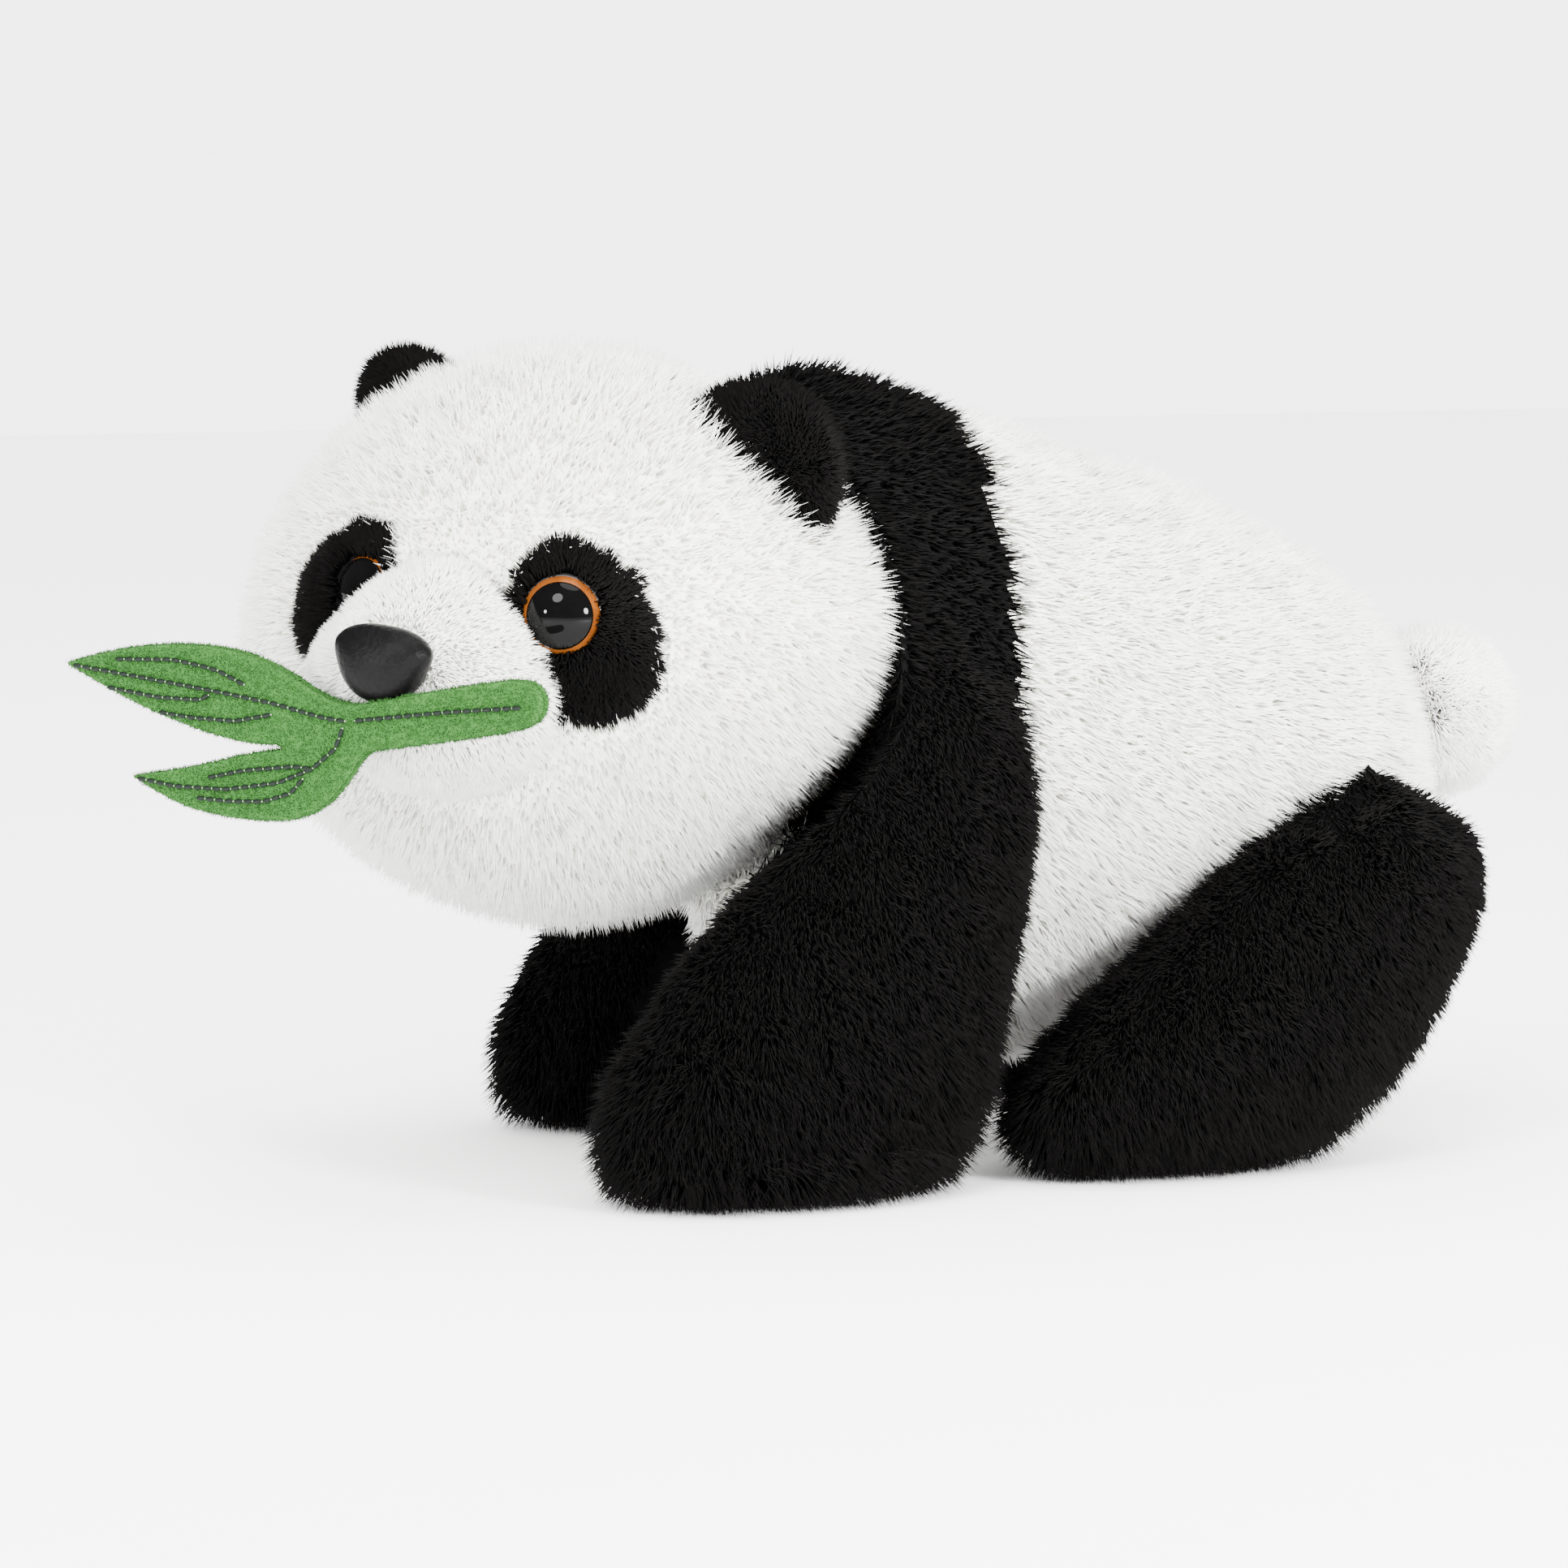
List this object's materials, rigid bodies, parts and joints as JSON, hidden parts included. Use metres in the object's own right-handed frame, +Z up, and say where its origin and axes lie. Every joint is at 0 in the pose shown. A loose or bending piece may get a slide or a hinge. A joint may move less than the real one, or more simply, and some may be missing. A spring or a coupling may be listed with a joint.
{
  "type": "plush panda",
  "caption": "Soft plush panda on all fours with black legs, ears and shoulder band, its turned head holding a green felt bamboo sprig.",
  "frame": {"origin": "on the ground plane, at the middle of the whole footprint with the sprig and the tail", "axes": "+Z up from the soles, -Y the way the body walks, +X the panda's left side, towards which its head is turned"},
  "size_m": [0.149, 0.3119, 0.1664],
  "materials": {
    "white_plush": "matte",
    "black_plush": "matte",
    "fibre": "matte",
    "pouch_cloth": "matte",
    "clear_dome": "gloss",
    "amber_paint": "gloss",
    "pupil_black": "gloss",
    "black_plastic": "satin",
    "green_felt": "matte",
    "sewing_thread": "satin"
  },
  "bodies": {
    "torso": {"back_panel": "white_plush", "belly_panel": "white_plush", "shoulder_yoke": "black_plush", "torso_filling": "fibre", "pellet_pouch": "pouch_cloth"},
    "head": {"head_skin": "white_plush", "head_filling": "fibre", "muzzle_skin": "white_plush", "muzzle_filling": "fibre", "nose": "black_plastic", "nose_washer": "black_plastic", "bamboo_back_felt": "green_felt", "bamboo_front_felt": "green_felt", "bamboo_stem_stitching": "sewing_thread", "bamboo_upper_leaf_stitching": "sewing_thread", "bamboo_lower_leaf_stitching": "sewing_thread", "eye_left_dome": "clear_dome", "eye_left_iris": "amber_paint", "eye_left_pupil": "pupil_black", "eye_left_backing": "black_plastic", "eye_left_washer": "black_plastic", "eye_patch_left": "black_plush", "eye_right_dome": "clear_dome", "eye_right_iris": "amber_paint", "eye_right_pupil": "pupil_black", "eye_right_backing": "black_plastic", "eye_right_washer": "black_plastic", "eye_patch_right": "black_plush"},
    "ear_left": {"ear_left_front": "black_plush", "ear_left_back": "black_plush"},
    "ear_right": {"ear_right_front": "black_plush", "ear_right_back": "black_plush"},
    "front_leg_left": {"front_leg_left_skin": "black_plush", "front_leg_left_filling": "fibre", "front_leg_left_sole": "black_plush"},
    "front_leg_right": {"front_leg_right_skin": "black_plush", "front_leg_right_filling": "fibre", "front_leg_right_sole": "black_plush"},
    "hind_leg_left": {"hind_leg_left_skin": "black_plush", "hind_leg_left_filling": "fibre", "hind_leg_left_sole": "black_plush"},
    "hind_leg_right": {"hind_leg_right_skin": "black_plush", "hind_leg_right_filling": "fibre", "hind_leg_right_sole": "black_plush"},
    "tail": {"tail_skin": "white_plush", "tail_filling": "fibre"}
  },
  "joints": [
    {"name": "head_turn", "type": "hinge", "parent": "torso", "child": "head", "pos_m": [-0.0085, -0.051, 0.108], "axis": [0, 0, 1], "range_deg": [-14, 3], "stiffness_Nm_per_rad": 0.5},
    {"name": "ear_left_fold", "type": "hinge", "parent": "head", "child": "ear_left", "pos_m": [0.0242, -0.0192, 0.143], "axis": [0.4452, 0.4152, -0.7934], "range_deg": [-10, 10], "stiffness_Nm_per_rad": 0.05},
    {"name": "ear_right_fold", "type": "hinge", "parent": "head", "child": "ear_right", "pos_m": [-0.0359, -0.0752, 0.1524], "axis": [-0.5643, -0.5262, -0.6361], "range_deg": [-10, 10], "stiffness_Nm_per_rad": 0.05},
    {"name": "front_leg_left_swing", "type": "hinge", "parent": "torso", "child": "front_leg_left", "pos_m": [0.0375, -0.0055, 0.074], "axis": [1, 0, 0], "range_deg": [-6, 2], "stiffness_Nm_per_rad": 2},
    {"name": "front_leg_right_swing", "type": "hinge", "parent": "torso", "child": "front_leg_right", "pos_m": [-0.0545, -0.0055, 0.074], "axis": [1, 0, 0], "range_deg": [-6, 2], "stiffness_Nm_per_rad": 2},
    {"name": "hind_leg_left_swing", "type": "hinge", "parent": "torso", "child": "hind_leg_left", "pos_m": [0.0375, 0.0905, 0.042], "axis": [1, 0, 0], "range_deg": [-2, 6], "stiffness_Nm_per_rad": 2},
    {"name": "hind_leg_right_swing", "type": "hinge", "parent": "torso", "child": "hind_leg_right", "pos_m": [-0.0545, 0.0905, 0.042], "axis": [1, 0, 0], "range_deg": [-2, 6], "stiffness_Nm_per_rad": 2},
    {"name": "tail_wag", "type": "hinge", "parent": "torso", "child": "tail", "pos_m": [-0.0085, 0.1335, 0.084], "axis": [0, 0, 1], "range_deg": [-10, 10], "stiffness_Nm_per_rad": 0.05}
  ]
}
